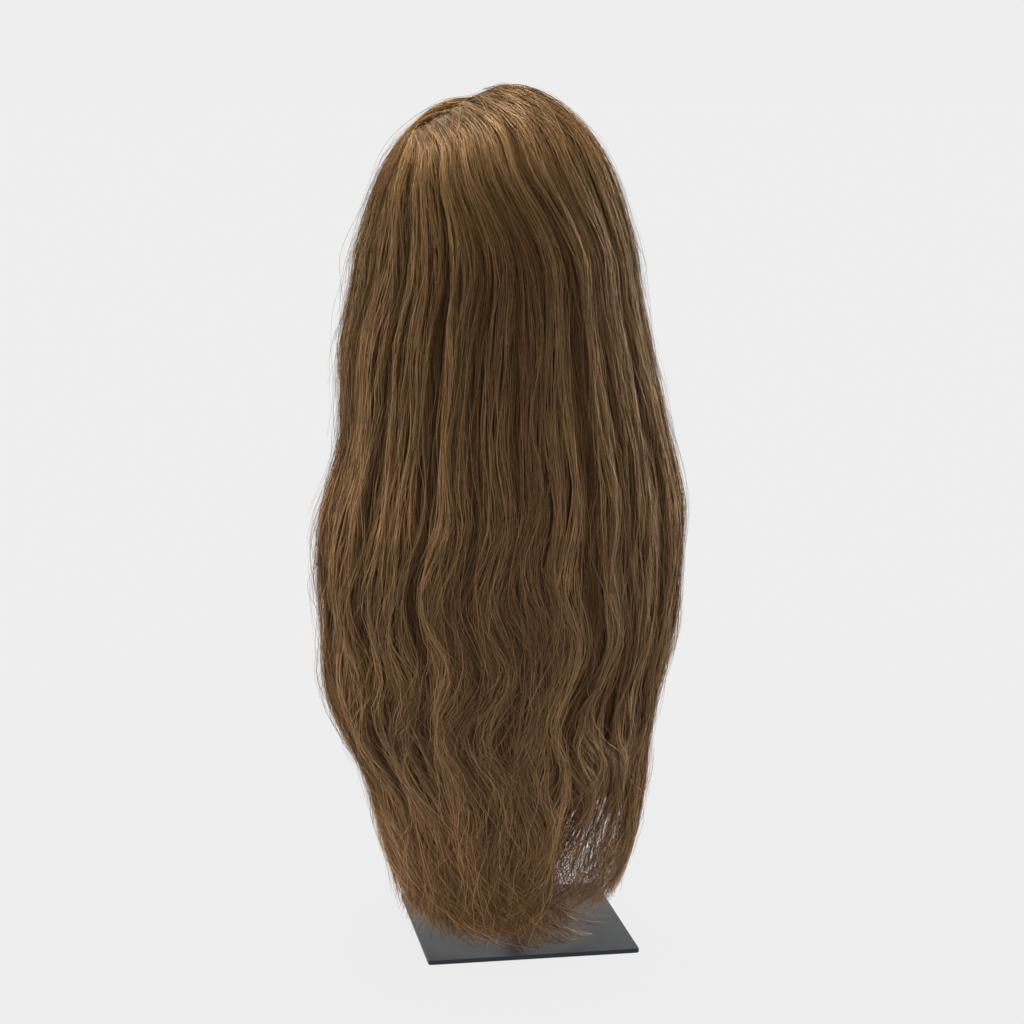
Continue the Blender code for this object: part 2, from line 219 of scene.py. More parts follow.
def round_direction(degrees):
    """The level direction that many degrees round from the back, towards +X."""
    angle = np.radians(degrees)
    return np.stack([np.sin(angle), -np.cos(angle), np.zeros_like(angle)], -1)


def half_sizes(direction, depth):
    """Half width, half depth and rise of the hair over the cap."""
    x, y = direction[..., 0], direction[..., 1]
    side = np.where(x < 0, HAIR_LEFT, HAIR_RIGHT)
    end = np.where(y < 0, HAIR_BACK, HAIR_FRONT)
    step = smooth_step((x - TOP_STEP_START) / TOP_STEP_SPREAD)
    top = HAIR_TOP_LEFT + (HAIR_TOP_RIGHT - HAIR_TOP_LEFT) * step
    return (
        CAP_HALF_WIDTH + HAIR_SEAT + (side - HAIR_SEAT) * depth,
        CAP_HALF_DEPTH + HAIR_SEAT + (end - HAIR_SEAT) * depth,
        CAP_RISE + HAIR_SEAT + (top - HAIR_SEAT) * depth,
    )


def parting_divide():
    """The place across where the hair divides to the left and the right of the parting's back end."""
    return PARTING_ROUND / SECTIONS[0, SECTION_COLUMNS.index("reach")]


def dome_points(across, along, depth):
    """Points of the hair over the cap. along runs from the parting at 0 to the cap's widest level at 1."""
    divide = parting_divide()
    share = np.where(across >= divide, (across - divide) / (1 - divide), (divide - across) / (divide + 1))
    rows = np.arange(len(PARTING), dtype=float)
    at = np.clip(share, 0, 1) * rows[-1]
    root = np.stack([curve_value(rows, PARTING[:, i], at) for i in range(3)], -1)
    root /= np.linalg.norm(root, axis=-1, keepdims=True)
    end = round_direction(across * SECTIONS[0, SECTION_COLUMNS.index("reach")])
    bend = np.stack([end[..., 0], end[..., 1], DOME_ARCH * root[..., 2]], -1)
    t = along[..., None]
    path = root * (1 - t) ** 2 + bend * (2 * t * (1 - t)) + end * t**2
    path /= np.linalg.norm(path, axis=-1, keepdims=True)
    strength = bell(across, SWEEP_MIDDLE, SWEEP_SPREAD)
    turn = -np.radians(SWEEP_DEGREES) * strength * np.sin(np.pi * along) ** 2
    x = path[..., 0] * np.cos(turn) - path[..., 1] * np.sin(turn)
    y = path[..., 0] * np.sin(turn) + path[..., 1] * np.cos(turn)
    path = np.stack([x, y, path[..., 2]], -1)
    width, length, rise = half_sizes(path, depth)
    widest = smooth_step(1 - path[..., 2] * WIDENING)
    side = side_value(path[..., 0], "left", "right", 0.0)
    width = width * (1 + (side - 1) * widest * depth)
    return CAP_CENTRE + path * np.stack([width, length, rise], -1)


def hanging_points(across, drop, depth):
    """Points of the hanging hair, a share of HAIR_DROP below the cap's widest level."""
    turn = across * section_value("reach", drop)
    level = round_direction(turn)
    outer_width, outer_length, _ = half_sizes(level, 1.0)
    inner_width, inner_length, _ = half_sizes(level, 0.0)
    wall = section_value("wall", drop)
    wall_x = (outer_width - inner_width) * wall
    wall_y = (outer_length - inner_length) * wall
    outer_width = outer_width * side_value(level[..., 0], "left", "right", drop)
    outer_length = outer_length * side_value(level[..., 1], "back", "front", drop)
    hold = smooth_step(drop / SECTIONS[1, 0])
    inside_x = inner_width + (outer_width - wall_x - inner_width) * hold
    inside_y = inner_length + (outer_length - wall_y - inner_length) * hold
    phase = 2 * np.pi * drop * HAIR_DROP / WAVE_LENGTH + across * WAVE_TURN
    strength = section_value("swing", drop)
    billow = WAVE_BILLOW * strength * np.sin(phase + BILLOW_PHASE + across * WAVE_TURN)
    width = inside_x + (outer_width - inside_x) * depth + billow
    length = inside_y + (outer_length - inside_y) * depth + billow
    turn = turn + np.degrees(WAVE_SWING * strength / outer_width) * np.sin(phase)
    level = round_direction(turn)
    place = np.stack([level[..., 0] * width, level[..., 1] * length, -drop * HAIR_DROP], -1)
    return CAP_CENTRE + place


def hair_points(across, lengths, depth):
    """Points of the hair from how far round, how far down and how deep they lie."""
    over = dome_points(across, np.clip(lengths / DOME_LENGTH, 0, 1), depth)
    under = hanging_points(across, hang_share(lengths), depth)
    return np.where((lengths < DOME_LENGTH)[..., None], over, under)


def lock_shape(across):
    """For each place across: how deep the groove between the locks is, and how short the hair ends."""
    edges = lock_edges()
    own = np.clip(np.searchsorted(edges, across, side="right") - 1, 0, len(LOCKS) - 1)
    start, end = edges[own], edges[own + 1]
    side = np.clip(2 * (across - start) / (end - start) - 1, -1, 1)
    other = np.clip(own + np.where(side > 0, 1, -1), 0, len(LOCKS) - 1)
    tips = lock_values("tip")
    fulls = lock_values("full")
    full = fulls[own] + (np.maximum(fulls[own], fulls[other]) - fulls[own]) * np.abs(side)
    notch = NOTCH_DROP * np.minimum(fulls[own], fulls[other])
    edge_tip = np.maximum(tips[own], tips[other]) + notch
    tip = tips[own] + (edge_tip - tips[own]) * STRAND_NOTCH * np.abs(side) ** NOTCH_POWER
    return GROOVE * full * side**2, tip


def root_full(across):
    """How full the hair is at the parting: the hair to the right of it stands higher than the left."""
    return ROOT_LEFT + (ROOT_RIGHT - ROOT_LEFT) * smooth_step((across - parting_divide()) / ROOT_SPREAD)


def root_share(across, lengths):
    """The share of its full depth that the hair has at a place, from the parting on."""
    root = root_full(across)
    return root + (1 - root) * smooth_step(lengths / ROOT_RISE)


def moved_across(at, metres, lengths):
    """Places across after a shift of some metres round the hair."""
    scale = np.interp(lengths, SCALE_LENGTHS, SCALE_METRES)
    return np.clip(at[:, None] + metres / scale, -EDGE_LIMIT, EDGE_LIMIT)


def hang_share(lengths):
    """How far down the hanging part a place lies, from 0 at the cap's widest level to 1 at the ends."""
    return np.clip((lengths - DOME_LENGTH) / HAIR_DROP, 0, 1)


def drift(across, spacing, size):
    """A smooth random value for each place across, about as large as size."""
    knots = np.arange(-1 - 2 * spacing, 1 + 3 * spacing, spacing)
    values = rng.normal(0, size, len(knots))
    return curve_value(knots, values, across)


def ripple(lengths, wave, phase, size):
    """A wave down the strands."""
    return size * np.sin(2 * np.pi * lengths / wave + phase)


def station_lengths(start, end, stations):
    """Each strand's stations from its start to its end, shifted at random so that no kinks line up."""
    base = np.linspace(0, 1, stations)
    shift = rng.uniform(-0.4, 0.4, (len(start), 1)) / (stations - 1)
    middle = np.ones(stations)
    middle[[0, -1]] = 0
    share = base[None, :] + shift * middle[None, :]
    share = share + STATION_CROWDING * share * (1 - share)
    return start[:, None] + (end - start)[:, None] * share, share


def uv_height(lengths):
    """The height in the uv map of each place down a strand."""
    return 0.02 + 0.96 * lengths / LONGEST


# Meshes


def add_object(name, data):
    """A new object in the scene."""
    item = bpy.data.objects.new(name, data)
    bpy.context.scene.collection.objects.link(item)
    return item


def add_mesh(name, points, faces, uvs, material):
    """A mesh from arrays: points (n, 3), faces (m, 4) and one uv for each face corner."""
    mesh = bpy.data.meshes.new(name)
    mesh.vertices.add(len(points))
    mesh.vertices.foreach_set("co", points.astype(np.float32).ravel())
    mesh.loops.add(faces.size)
    mesh.loops.foreach_set("vertex_index", faces.astype(np.int32).ravel())
    mesh.polygons.add(len(faces))
    starts = np.arange(0, faces.size, faces.shape[1], dtype=np.int32)
    mesh.polygons.foreach_set("loop_start", starts)
    mesh.update(calc_edges=True)
    layer = mesh.uv_layers.new(name="OFBake")
    layer.data.foreach_set("uv", uvs.astype(np.float32).ravel())
    mesh.polygons.foreach_set("use_smooth", np.ones(len(faces), bool))
    mesh.materials.append(material)
    mesh.validate()
    piece = add_object(name, mesh)
    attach(piece, "root")
    return piece


def outward_of(paths):
    """The direction out of the hair at each point, from a line up the middle to the cap's centre."""
    middle = np.zeros_like(paths)
    middle[..., 0] = CAP_CENTRE[0]
    middle[..., 1] = CAP_CENTRE[1]
    middle[..., 2] = np.minimum(paths[..., 2], CAP_CENTRE[2])
    out = paths - middle
    return out / np.linalg.norm(out, axis=-1, keepdims=True)


def ribbon_arrays(strands):
    """Flat ribbons along the strands' paths, each with its own column of the shared uv map for its colour."""
    paths = strands["paths"]
    count, stations = paths.shape[:2]
    tangent = np.gradient(paths, axis=1)
    tangent /= np.linalg.norm(tangent, axis=-1, keepdims=True) + 1e-12
    across = np.cross(tangent, outward_of(paths))
    across /= np.linalg.norm(across, axis=-1, keepdims=True) + 1e-12
    normal = np.cross(across, tangent)
    roll = strands["roll"][..., None]
    half = (across * np.cos(roll) + normal * np.sin(roll)) * strands["widths"][..., None] / 2
    points = np.stack([paths - half, paths + half], 2).reshape(-1, 3)
    first = (np.arange(count)[:, None] * stations + np.arange(stations - 1)[None, :]).ravel() * 2
    faces = np.stack([first, first + 1, first + 3, first + 2], 1)
    height = uv_height(strands["lengths"])
    low, high = height[:, :-1], height[:, 1:]
    left = np.broadcast_to(((strands["tones"] + 0.15) / TONES)[:, None], low.shape)
    right = np.broadcast_to(((strands["tones"] + 0.85) / TONES)[:, None], low.shape)
    corners = [(left, low), (right, low), (right, high), (left, high)]
    uvs = np.stack([np.stack(corner, -1) for corner in corners], 2).reshape(-1, 2)
    return points, faces, uvs


def strand_piece(name, strands, material, replaced=None):
    points, faces, uvs = ribbon_arrays(strands)
    piece = add_mesh(name, points, faces, uvs, material)
    if replaced:
        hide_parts(replaced)
    return piece


# Wisps and strands

# The wisps' spacing, and for each layer of them the share of the full number, the lowest and highest depth,
# and how many strands a wisp has, give or take a few
WISP_SPACING = 0.0068
WISP_LAYERS = ((1.0, 0.74, 0.86, 19), (0.7, 0.52, 0.74, 13))
STRANDS_VARY = 4
FULLEST = 0.86  # the highest depth of a wisp's middle
SHORT_INSIDE = 0.03  # how much shorter the deepest wisps are
WISP_HALF = (0.0006, 0.0017)  # half a wisp's width
EARLY_CURL = 0.2  # how much of the curl the wisps that end early have
THREAD = 4  # strands that run together as one thread

# Tones are columns of the uv map: the middle one, the lightest, a wisp's own range, and what is added
MIDDLE_TONE = 40
LIGHTEST = 58
WISP_TONES = (-14, 7)
# Painted light at the sides and front, together with the lighter locks there
RIM_LIGHT_TONE = 12
# Painted shade: strands in the grooves between locks are darker
GROOVE_SHADE_TONE = -46
# Partly darker hair, partly painted shade of the post behind the tuft
TUFT_TONE_AND_SHADE = -9
# Painted light: strands lying further out in their wisp are lighter
OUTER_LIGHT_TONE = 7
# Painted light: loose strands, which stand off the surface, are lighter
LOOSE_LIGHT_TONE = 14
# Painted shade: strands are darker the deeper their wisp lies
DEEP_SHADE_TONE = -30

# Painted light, together with the lighter locks there: the sides and the front are lighter than the back from
# this far across
RIM_START = 0.38
RIM_SPREAD = 0.24

# The dark tuft at the lowest point, partly darker hair and partly painted shade of the post behind it: its
# place, and how much lower it hangs and further it curls
TUFT_MIDDLE = 0.030
TUFT_SPREAD = 0.022
TUFT_DROP = 0.016
TUFT_CURL = 0.010

# Ends, as shares of the drop: how far above their wisp's tip the strands end on average, how far below it the
# lowest reach, and the shortest and longest drop
THIN_OUT = 0.020
PAST_TIP = 0.012
DROP_LIMITS = (0.25, 1.01)

# Roots: the share of strands that are tied to the cap below the parting, where they are tied, and the share
# of their depth that they start with
TIED_LOWER = 0.30
AT_PARTING = (0, 0.004)
BELOW_PARTING = (0.004, 0.12)
PARTING_LIMIT = 0.0041
PARTING_DEPTH = 0.62
TIED_DEPTH = 0.35

# Waves, one to a row: their length, which of the random turns shifts them and how much, their size high up,
# the size added low down, all in metres, and whether they fade out at the parting
WAVE_FADE = 0.08
WISP_WAVES = (
    (0.210, 1, 2.0, 0.0020, 0.0, True),
    (0.092, 2, 1.2, 0.0004, 0.0046, True),
    (0.055, 3, 3.0, 0.0001, 0.0012, False),
)
STRAND_WAVES = (
    (0.042, 0, 3.0, 0.00018, 0.00075, False),
    (0.028, 4, 3.0, 0.0, 0.00045, False),
)
LONG_WAVES = ((0.100, 1, 3.0, 0.0009, 0.0010, True),)
SWERVE_HIGH = 0.0010
SWERVE_LOW = 0.0052

# The thin hair on the right of the gap hangs smoothly, and low down it sways out to the right
CALM_MIDDLE = 0.24
CALM_SPREAD = 0.13
CALM = 0.9
SWAY = 0.020
SWAY_MIDDLE = 0.27
SWAY_SPREAD = 0.12
SWAY_START = 0.60
SWAY_REACH = 0.32

# To the right of the parting the roots lean to the left, so that the hair sweeps over before it falls
LEAN = 0.030
LEAN_LENGTH = 0.070
LEAN_SPREAD = 0.25
LEAN_EDGE = 0.45

# Loose strands: their share, how much thinner they are, and how far off the surface they stand
LOOSE = 0.30
LOOSE_THIN = 0.30
FUZZ = 0.06
FUZZ_LIMIT = 0.28

# Widths in metres, how much is lost at the tip, and what is there at the root
STRAND_WIDTHS = (0.00030, 0.00052)
TIP_TAPER = 0.50
ROOT_WIDTH = 0.45


def rim_light_share(across):
    """0 at the middle of the back, and 1 at the sides and in front, where the hair is painted lighter for the
    light its rims catch, and for the lighter locks there.
    """
    return smooth_step((np.abs(across) - RIM_START) / RIM_SPREAD)


def make_wisps():
    """The wisps' places, depths, ends, tones and waves, one row each."""
    places, depths, sizes = [], [], []
    for share, low, high, strands in WISP_LAYERS:
        count = int(2 * share / WISP_SPACING)
        places.append(-1 + 2 * (np.arange(count) + 0.5 + rng.uniform(-0.4, 0.4, count)) / count)
        depths.append(rng.uniform(low, high, count))
        sizes.append(rng.integers(strands - STRANDS_VARY, strands + STRANDS_VARY + 1, count))
    at = np.concatenate(places)
    depth = np.concatenate(depths)
    count = len(at)
    groove, tip = lock_shape(at)
    tuft = bell(at, TUFT_MIDDLE, TUFT_SPREAD)
    early = rng.uniform(*EARLY_END, count) * (rng.uniform(0, 1, count) < lock_value_at("open", at))
    tip = tip + rng.exponential(0.005, count) + SHORT_INSIDE * (FULLEST - depth) + early - TUFT_DROP * tuft
    tone = (drift(at, 0.035, 4.0) + rng.normal(0, 4.5, count)).clip(*WISP_TONES)
    # Painted shade in the grooves, painted light at the sides and front, and the tuft's darker tone with
    # painted shade
    tone = tone + GROOVE_SHADE_TONE * groove + RIM_LIGHT_TONE * rim_light_share(at) + TUFT_TONE_AND_SHADE * tuft
    phase = drift(at, 0.06, 1.4)[:, None] + rng.normal(0, 0.40, (count, 4))
    lift = drift(at, 0.028, 0.05) + rng.normal(0, 0.035, count)
    half = rng.uniform(*WISP_HALF, count)
    curl = lock_value_at("curl", at) + drift(at, 0.06, 0.006) + TUFT_CURL * tuft
    return {
        "at": at,
        "depth": depth,
        "strands": np.concatenate(sizes),
        "tip": tip,
        "thin": lock_value_at("thin", at),
        "tone": tone,
        "phase": phase,
        "lift": lift,
        "half": half,
        "curl": curl * np.where(early > 0, EARLY_CURL, 1.0),
    }


def draw_strands(wisps, chosen):
    """One row for each strand of the chosen wisps: its wisp's values, its thread's and its own."""
    which = np.repeat(chosen, wisps["strands"][chosen])
    count = len(which)
    thread = np.arange(count) // THREAD
    threads = thread[-1] + 1
    strands = SimpleNamespace(**{name: values[which] for name, values in wisps.items()})
    spin = rng.uniform(0, 2 * np.pi, threads)[thread]
    reach = np.sqrt(rng.uniform(0.02, 1, threads))[thread]
    strands.side = reach * np.cos(spin) * strands.half + rng.normal(0, 0.00013, count)
    strands.high = reach * np.sin(spin) + rng.normal(0, 0.12, count)
    tip = strands.tip + rng.exponential(strands.thin + THIN_OUT) - PAST_TIP
    end = DOME_LENGTH + HAIR_DROP * np.clip(1.0 - tip, *DROP_LIMITS)
    lower = rng.uniform(0, 1, count) < TIED_LOWER
    start = np.where(lower, rng.uniform(*BELOW_PARTING, count), rng.uniform(*AT_PARTING, count))
    strands.start = start[:, None]
    strands.lengths, strands.share = station_lengths(start, end, STATIONS)
    strands.loose = (rng.uniform(0, 1, count) < LOOSE)[:, None]
    strands.apart = rng.normal(0, 1, (count, 3))
    strands.stray = rng.normal(0, 1, (threads, 5))[thread] + rng.normal(0, 0.10, (count, 5))
    strands.width = rng.uniform(*STRAND_WIDTHS, count)[:, None]
    strands.own_tone = rng.normal(0, 10, threads)[thread] + rng.normal(0, 5, count)
    strands.roll = rng.normal(0, 0.50, count)[:, None]
    return strands


def add_waves(table, lengths, turns, low):
    """The sum of a table's waves down each strand, in metres."""
    total = 0.0
    for wave, column, turn, size, more, fades in table:
        size = size + more * low
        if fades:
            size = size * smooth_step(lengths / WAVE_FADE)
        total = total + ripple(lengths, wave, turns[:, column : column + 1] * turn, size)
    return total


def own_waves(strands, down, low):
    """How far each strand swerves by itself, in metres."""
    lengths, stray, apart = strands.lengths, strands.stray, strands.apart
    own = add_waves(STRAND_WAVES, lengths, stray, low) + add_waves(LONG_WAVES, lengths, stray, down)
    swerve = ripple(lengths, 0.05 + 0.05 * np.abs(apart[:, :1]), apart[:, 1:2] * 3, 1)
    calm = 1 - CALM * bell(strands.at, CALM_MIDDLE, CALM_SPREAD)[:, None] * low
    return own * calm + strands.loose * calm * apart[:, 2:] * (SWERVE_HIGH + SWERVE_LOW * low) * swerve


def end_bend(strands):
    """0 down most of each strand, rising to 1 over its last part."""
    return np.clip((strands.share - 0.88) / 0.12, 0, 1) ** 2


def end_curl(strands):
    """How far the strands' ends turn to the right, in metres."""
    hook = np.clip((strands.share - 0.94) / 0.06, 0, 1) ** 2
    curl = strands.curl + strands.stray[:, 3] * 0.012 + strands.apart[:, 2] * 0.011
    return curl[:, None] * (end_bend(strands) + 0.5 * hook)


def gathering(strands, low):
    """How wide a wisp is: it draws together and opens again, and closes at its end."""
    close = 1.0 + ripple(strands.lengths, 0.19, strands.phase[:, :1], 0.45) + 0.5 * low
    return close * (1 - 0.35 * smooth_step((strands.share - 0.85) / 0.15))


def strand_places(strands, close, down, low):
    """The places across of every strand's stations."""
    lengths, place = strands.lengths, strands.at
    slide = add_waves(WISP_WAVES, lengths, strands.phase, low)
    lean = smooth_step((place - parting_divide()) / LEAN_SPREAD) * smooth_step((1 - place) / LEAN_EDGE)
    lean = (LEAN * lean)[:, None] * (1 - smooth_step(lengths / LEAN_LENGTH))
    scatter = 0.0012 * strands.stray[:, 1:2] * (1 - smooth_step(lengths / 0.03))
    sway = SWAY * bell(place, SWAY_MIDDLE, SWAY_SPREAD)[:, None]
    sway = sway * smooth_step((down - SWAY_START) / SWAY_REACH)
    metres = strands.side[:, None] * close + slide + own_waves(strands, down, low) + end_curl(strands)
    return moved_across(place, metres + scatter - lean + sway, lengths)


def strand_depths(strands, across, close, low):
    """The depths of every strand's stations."""
    lengths, stray, apart = strands.lengths, strands.stray, strands.apart
    groove, _ = lock_shape(across)
    rise = smooth_step(lengths / 0.045)
    depth = strands.depth[:, None] * (1 - groove) + strands.lift[:, None] * rise
    small = 0.025 * ripple(lengths, 0.037, stray[:, 2:3] * 3, 1)
    depth = depth + (0.06 * strands.high[:, None] * close + small) * rise
    depth = depth + (0.05 * stray[:, 1:2] + 0.12 * apart[:, :1]) * end_bend(strands)
    swell = ripple(lengths, 0.105, strands.phase[:, 3:] * 1.2, 0.11 * low)
    fuzz = np.abs(apart[:, :1]) * strands.loose * (FUZZ + ripple(lengths, 0.09, apart[:, 1:2] * 3, FUZZ))
    depth = np.minimum(depth, FULLEST) + swell + (fuzz * (1 + low)).clip(0, FUZZ_LIMIT)
    depth = depth * root_share(across, lengths)
    tied = np.where(strands.start < PARTING_LIMIT, PARTING_DEPTH, TIED_DEPTH)
    return depth * (tied + (1 - tied) * smooth_step((lengths - strands.start + 0.002) / 0.014))


def strand_widths(strands):
    """The strands' widths, narrower at both ends."""
    widths = strands.width * (1 - TIP_TAPER * smooth_step((strands.share - 0.94) / 0.06))
    widths = widths * (1 - LOOSE_THIN * strands.loose)
    root = smooth_step((strands.lengths - strands.start) / 0.02)
    return widths * (ROOT_WIDTH + (1 - ROOT_WIDTH) * root)


def wisp_strands(wisps, chosen):
    """The strands of the chosen wisps."""
    strands = draw_strands(wisps, chosen)
    lengths = strands.lengths
    down = hang_share(lengths)
    low = smooth_step((down - 0.25) / 0.5)
    close = gathering(strands, low)
    across = strand_places(strands, close, down, low)
    # Painted light and shade: lighter further out in a wisp and when loose, darker the deeper the wisp
    tone = MIDDLE_TONE + strands.tone + strands.own_tone + OUTER_LIGHT_TONE * strands.high
    tone = tone + LOOSE_LIGHT_TONE * strands.loose[:, 0] + DEEP_SHADE_TONE * (FULLEST - strands.depth)
    return {
        "paths": hair_points(across, lengths, strand_depths(strands, across, close, low)),
        "widths": strand_widths(strands),
        "roll": strands.roll + ripple(lengths, 0.09, strands.stray[:, :1] * 5, 0.2),
        "tones": np.clip(np.round(tone), 0, LIGHTEST),
        "lengths": lengths,
    }


# Single stray hairs, most of them where the hair's left and right outlines lie, seen from behind
FLYAWAYS = 1200
FLYAWAY_STATIONS = 18
FLYAWAY_BASE = 0.86
FLYAWAY_HEIGHT = 0.06
# Painted light: the stray hairs are lighter, for the light that shines through them
FLYAWAY_LIGHT_TONE = 50
RIM_FLYAWAYS = FLYAWAYS * 3 // 5
CROWN_FLYAWAYS = FLYAWAYS // 6
RIM_ACROSS = 0.60


def flyaway_strands():
    """Single fine hairs that leave the surface in low arcs, or stand off it at their ends."""
    at = rng.uniform(-1, 1, FLYAWAYS)
    at[:RIM_FLYAWAYS] = rng.choice((-1, 1), RIM_FLYAWAYS) * rng.normal(RIM_ACROSS, 0.07, RIM_FLYAWAYS)
    start = rng.uniform(0.0, 0.50, FLYAWAYS)
    start[-CROWN_FLYAWAYS:] = rng.uniform(0.0, 0.03, CROWN_FLYAWAYS + 1)[:-1]
    _, tip = lock_shape(at)
    lowest = DOME_LENGTH + HAIR_DROP * (0.98 - tip)
    end = np.minimum(start + rng.uniform(0.03, 0.15, FLYAWAYS), lowest)
    lengths, share = station_lengths(start, end, FLYAWAY_STATIONS)
    lean = rng.normal(0, 0.0085, FLYAWAYS)[:, None]
    metres = lean * share + ripple(lengths, 0.040, rng.uniform(0, 6, (FLYAWAYS, 1)), 0.0012)
    across = moved_across(at, metres, lengths)
    height = (FLYAWAY_HEIGHT + rng.exponential(0.10, FLYAWAYS).clip(0, 0.30))[:, None]
    arc = np.where(rng.uniform(0, 1, (FLYAWAYS, 1)) < 0.5, np.sin(np.pi * share), share**2)
    depth = root_share(across, lengths) * FLYAWAY_BASE + height * arc
    return {
        "paths": hair_points(across, lengths, depth),
        "widths": rng.uniform(0.00018, 0.00030, FLYAWAYS)[:, None] * (1 - 0.6 * share),
        "roll": rng.uniform(-1.5, 1.5, FLYAWAYS)[:, None] + 0 * share,
        "tones": np.clip(np.round(rng.normal(FLYAWAY_LIGHT_TONE, 6, FLYAWAYS)), 0, TONES - 1),
        "lengths": lengths,
    }


# Strands on the inner side of the hair: how many for each unit of across, their start, tone and depth
LINING = 400
LINING_STATIONS = 24
LINING_START = (0.10, 0.15)
LINING_TONE = 30
LINING_DEPTH = (0.02, 0.10)


def lining_strands(low, high):
    """Strands on the inner side of the hair, below the cap."""
    count = int((high - low) * LINING)
    at = rng.uniform(low, high, count)
    _, tip = lock_shape(at)
    start = rng.uniform(*LINING_START, count)
    stop = 1 - tip - lock_value_at("sheet", at) - rng.exponential(0.02, count)
    end = DOME_LENGTH + HAIR_DROP * stop.clip(0.3, 1)
    lengths, share = station_lengths(start, end, LINING_STATIONS)
    phase = rng.normal(0, 0.8, (count, 3)) + drift(at, 0.05, 1.5)[:, None]
    metres = ripple(lengths, 0.15, phase[:, :1], 0.0030) + ripple(lengths, 0.083, phase[:, 1:2] * 2, 0.0022)
    across = moved_across(at, metres, lengths)
    depth = rng.uniform(*LINING_DEPTH, count)[:, None] + ripple(lengths, 0.12, phase[:, 2:], 0.03)
    tone = LINING_TONE + drift(at, 0.03, 5.0) + rng.normal(0, 10, count)
    widths = rng.uniform(0.00045, 0.00080, count)[:, None]
    return {
        "paths": hair_points(across, lengths, depth.clip(0.0, 0.2)),
        "widths": widths * (1 - 0.6 * smooth_step((share - 0.85) / 0.15)),
        "roll": rng.normal(0, 0.4, count)[:, None] + 0 * share,
        "tones": np.clip(np.round(tone), 0, LIGHTEST),
        "lengths": lengths,
    }


# Sheets of hair: rows, columns for each unit of across, depths, and how uneven their surface and ends are
SHEET_ROWS = 30
UNDER_COLUMNS = 200
INSIDE_COLUMNS = 140
UNDER_DEPTH = 0.62
INSIDE_DEPTH = 0.10
SHEET_RIDGE = 0.035
SHEET_RAGGED = 0.03


def hair_sheet(name, start, end, inside, material):
    """The mass of hair under the strands, or the hair's inside, from the parting to a ragged end."""
    columns = max(int((end - start) * (INSIDE_COLUMNS if inside else UNDER_COLUMNS)), 8)
    at = np.linspace(start, end, columns)
    groove, tip = lock_shape(at)
    stop = 1 - tip - lock_value_at("sheet", at) - rng.uniform(0.0, SHEET_RAGGED, columns)
    lengths = np.linspace(0, 1, SHEET_ROWS)[None, :] * (DOME_LENGTH + HAIR_DROP * stop)[:, None]
    across = np.broadcast_to(at[:, None], lengths.shape)
    ridge = rng.normal(0, SHEET_RIDGE, (columns, 1)) * smooth_step(lengths / 0.04)
    if inside:
        depth = INSIDE_DEPTH + np.abs(ridge)
    else:
        depth = UNDER_DEPTH * (1 - groove[:, None]) * root_share(across, lengths) + ridge
        depth = depth * (0.25 + 0.75 * smooth_step(lengths / 0.035))
    grid = hair_points(across, lengths, depth)
    index = np.arange(columns * SHEET_ROWS).reshape(columns, SHEET_ROWS)
    corners = [index[:-1, :-1], index[1:, :-1], index[1:, 1:], index[:-1, 1:]]
    faces = np.stack(corners, -1).reshape(-1, 4)
    u = (np.arange(columns) / (columns - 1))[:, None] + np.zeros((1, SHEET_ROWS))
    uv = np.stack([u, uv_height(lengths)], -1).reshape(-1, 2)
    piece = add_mesh(name, grid.reshape(-1, 3), faces, uv[faces.ravel()], material)
    return piece


# The lace cap: the net's cells, threads and reach, and the cord along its rim

NET_SIDE = 0.00180
NET_THREAD = 0.00034
NET_REACH = 0.24
NET_LOWEST = 170  # degrees down from the top, beyond every rim
NET_UV_SCALE = 2.4
RIM_CORD = 0.0008
RIM_SIDES = 6
RIM_STEPS = 180


def rim_down(turn):
    return curve_value(RIM_ROUND, RIM_DOWN, np.abs(turn))


def cap_points(turn, down, inward):
    """Points of the cap: degrees round from the back, degrees down from the top, metres in from outside."""
    level = round_direction(turn) * np.sin(np.radians(down))[..., None]
    rise = np.cos(np.radians(down))
    sizes = np.array([CAP_HALF_WIDTH, CAP_HALF_DEPTH, CAP_RISE]) - inward
    return CAP_CENTRE + np.stack([level[..., 0], level[..., 1], rise], -1) * sizes


def net_on_cap(flat):
    """Places of a flat net, in metres from the crown, laid on the cap, and how far inside the rim each is."""
    degrees_per_metre = math.degrees(1 / ((CAP_HALF_WIDTH + CAP_HALF_DEPTH + CAP_RISE) / 3))
    down = np.linalg.norm(flat, axis=-1) * degrees_per_metre
    turn = np.degrees(np.arctan2(flat[..., 0], -flat[..., 1]))
    return cap_points(turn, np.minimum(down, NET_LOWEST), CAP_WALL / 2), rim_down(turn) - down


def net_arrays():
    """A six-sided net: each knot of one kind has a thread to each of its three neighbours."""
    pitch = math.sqrt(3) * NET_SIDE
    reach = int(NET_REACH / pitch)
    i, j = np.meshgrid(np.arange(-reach, reach), np.arange(-reach, reach))
    knots = np.stack([(i + j / 2) * pitch, j * 1.5 * NET_SIDE], -1).reshape(-1, 2)
    threads = []
    for angle in (90, 210, 330):
        step = NET_SIDE * np.array([math.cos(math.radians(angle)), math.sin(math.radians(angle))])
        threads.append(np.stack([knots, knots + step], 1))
    threads = np.concatenate(threads)
    ends, room = net_on_cap(threads)
    ends = ends[(room > 0).all(1)]
    along = ends[:, 1] - ends[:, 0]
    out = ends.mean(1) - CAP_CENTRE
    across = np.cross(along, out)
    across *= NET_THREAD / 2 / np.linalg.norm(across, axis=-1, keepdims=True)
    first, last = ends[:, 0], ends[:, 1]
    points = np.stack([first - across, first + across, last + across, last - across], 1)
    faces = np.arange(points.shape[0] * 4).reshape(-1, 4)
    return points.reshape(-1, 3), faces


